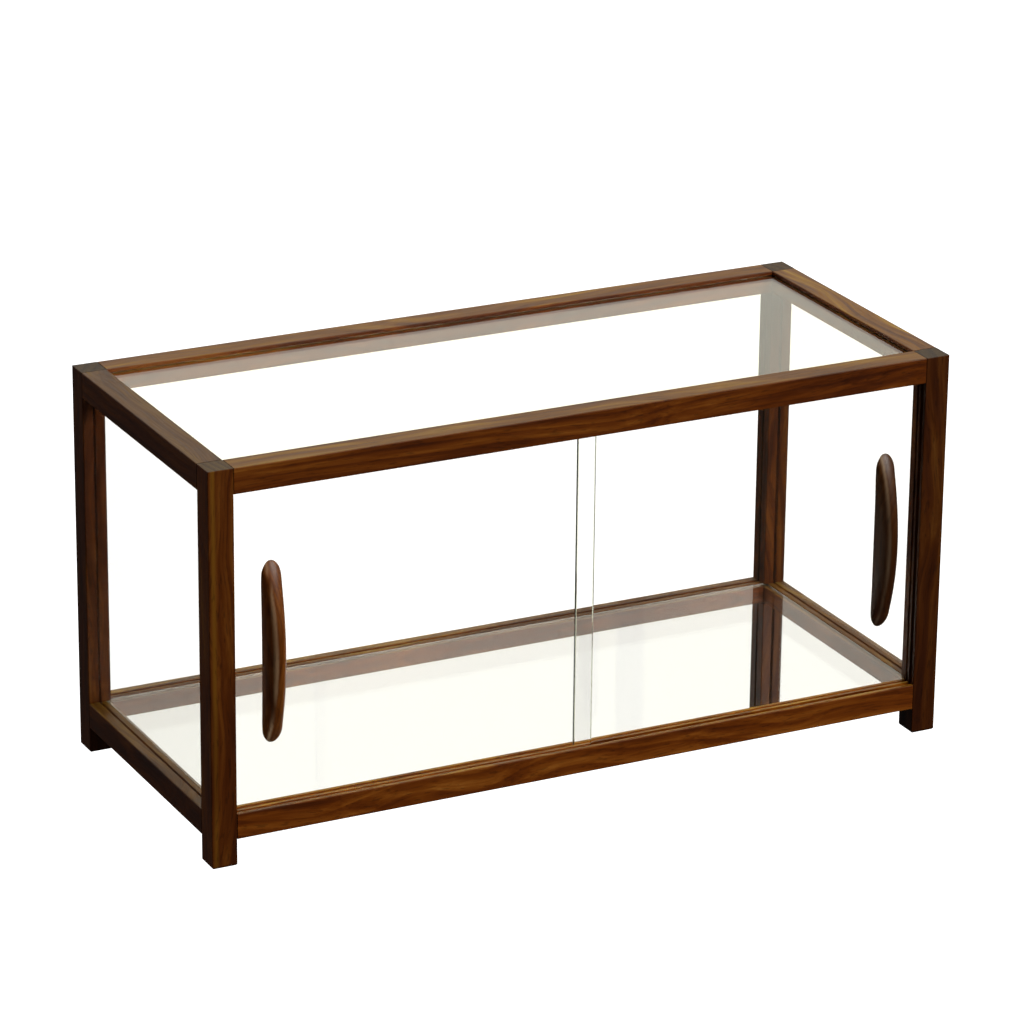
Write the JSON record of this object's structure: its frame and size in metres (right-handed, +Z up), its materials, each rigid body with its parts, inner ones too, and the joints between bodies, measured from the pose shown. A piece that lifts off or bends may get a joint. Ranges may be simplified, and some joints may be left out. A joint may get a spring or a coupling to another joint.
{
  "type": "tabletop display case",
  "caption": "Tabletop display case with a dark hardwood frame, clear glass sides and top, a mirror base, and two glass doors that slide past each other in front.",
  "frame": {"origin": "centre of the bounding box's footprint, at the feet's undersides", "axes": "+X to the right seen from the front, -Y to the front where the sliding doors are, +Z up"},
  "size_m": [0.61, 0.274, 0.308],
  "materials": {
    "walnut": "oiled dark walnut, satin, fine open grain along each piece",
    "dark_walnut": "smooth turned walnut, satin",
    "beech": "plain unfinished dowel",
    "hardboard": "smooth brown hardboard",
    "clear_glass": "clear float glass with ground edges",
    "mirror": "silvered float glass",
    "steel": "zinc-plated steel screw",
    "clear_tape": "clear acrylic mounting tape"
  },
  "bodies": {
    "frame": {"front_left_post": "walnut", "back_left_post": "walnut", "front_right_post": "walnut", "back_right_post": "walnut", "top_front_rail": "walnut", "top_back_rail": "walnut", "top_left_rail": "walnut", "top_right_rail": "walnut", "bottom_front_rail": "walnut", "bottom_back_rail": "walnut", "bottom_left_rail": "walnut", "bottom_right_rail": "walnut", "left_glass": "clear_glass", "right_glass": "clear_glass", "back_glass": "clear_glass", "top_glass": "clear_glass", "floor_glass": "clear_glass", "bottom_front_left_long_dowel": "beech", "bottom_front_left_short_dowel": "beech", "bottom_back_left_long_dowel": "beech", "bottom_back_left_short_dowel": "beech", "bottom_front_right_long_dowel": "beech", "bottom_front_right_short_dowel": "beech", "bottom_back_right_long_dowel": "beech", "bottom_back_right_short_dowel": "beech", "top_front_left_long_dowel": "beech", "top_front_left_short_dowel": "beech", "top_back_left_long_dowel": "beech", "top_back_left_short_dowel": "beech", "top_front_right_long_dowel": "beech", "top_front_right_short_dowel": "beech", "top_back_right_long_dowel": "beech", "top_back_right_short_dowel": "beech", "mirror_panel": "mirror", "backing_board": "hardboard", "front_base_cleat": "walnut", "back_base_cleat": "walnut", "left_base_cleat": "walnut", "right_base_cleat": "walnut", "front_cleat_screw_left": "steel", "front_cleat_screw_right": "steel", "back_cleat_screw_left": "steel", "back_cleat_screw_right": "steel", "left_cleat_screw_front": "steel", "left_cleat_screw_back": "steel", "right_cleat_screw_front": "steel", "right_cleat_screw_back": "steel"},
    "left_door": {"left_door_glass": "clear_glass", "left_pull": "dark_walnut", "left_pull_pad": "clear_tape"},
    "right_door": {"right_door_glass": "clear_glass", "right_pull": "dark_walnut", "right_pull_pad": "clear_tape"}
  },
  "joints": [
    {"name": "left_door_slide", "type": "slide", "parent": "frame", "child": "left_door", "axis": [1, 0, 0], "range_m": [0, 0.12]},
    {"name": "right_door_slide", "type": "slide", "parent": "frame", "child": "right_door", "axis": [-1, 0, 0], "range_m": [0, 0.12]}
  ]
}
